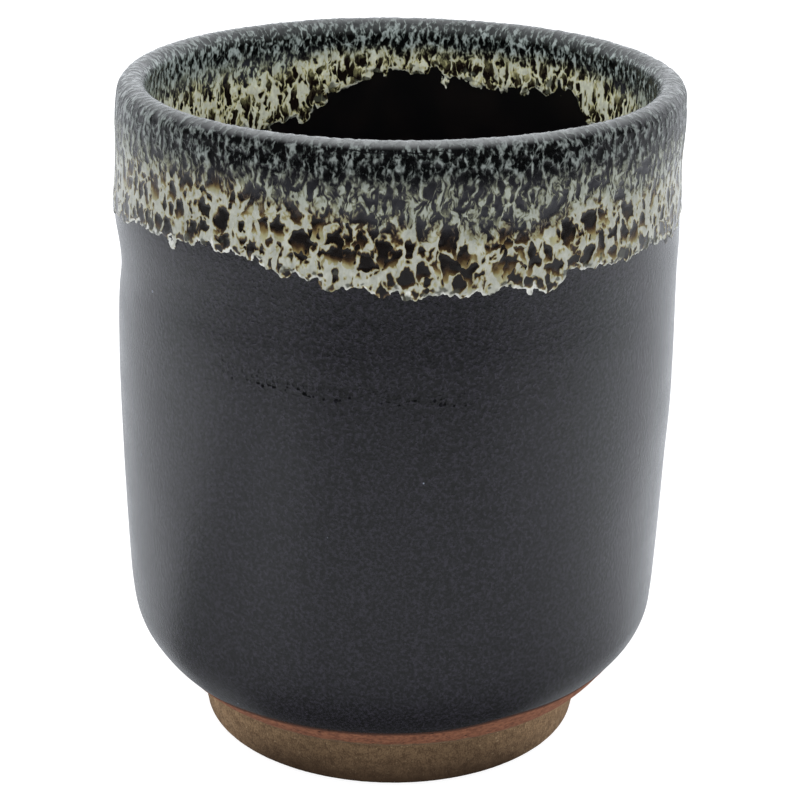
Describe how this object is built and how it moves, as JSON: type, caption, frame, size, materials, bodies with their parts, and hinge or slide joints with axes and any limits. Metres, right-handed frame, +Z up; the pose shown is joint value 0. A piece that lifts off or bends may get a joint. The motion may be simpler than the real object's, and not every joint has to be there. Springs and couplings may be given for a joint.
{
  "type": "yunomi tea cup",
  "caption": "Tall handleless stoneware tea cup on a trimmed foot ring, black glazed inside and out, with a pale ash glaze hanging from the lip.",
  "frame": {"origin": "centre of the foot ring on the table", "axes": "+Z up along the cup's axis of revolution; the side that the picture shows faces -Y"},
  "size_m": [0.0741, 0.0742, 0.09],
  "materials": {
    "body_clay": "matte",
    "foot_clay": "matte",
    "black_glaze": "satin",
    "liner_glaze": "satin",
    "ash_glaze": "gloss"
  },
  "bodies": {
    "root": {"stoneware_body": "body_clay", "foot_ring": "foot_clay", "outer_glaze": "black_glaze", "liner_glaze": "liner_glaze", "rim_glaze": "ash_glaze"}
  },
  "joints": []
}
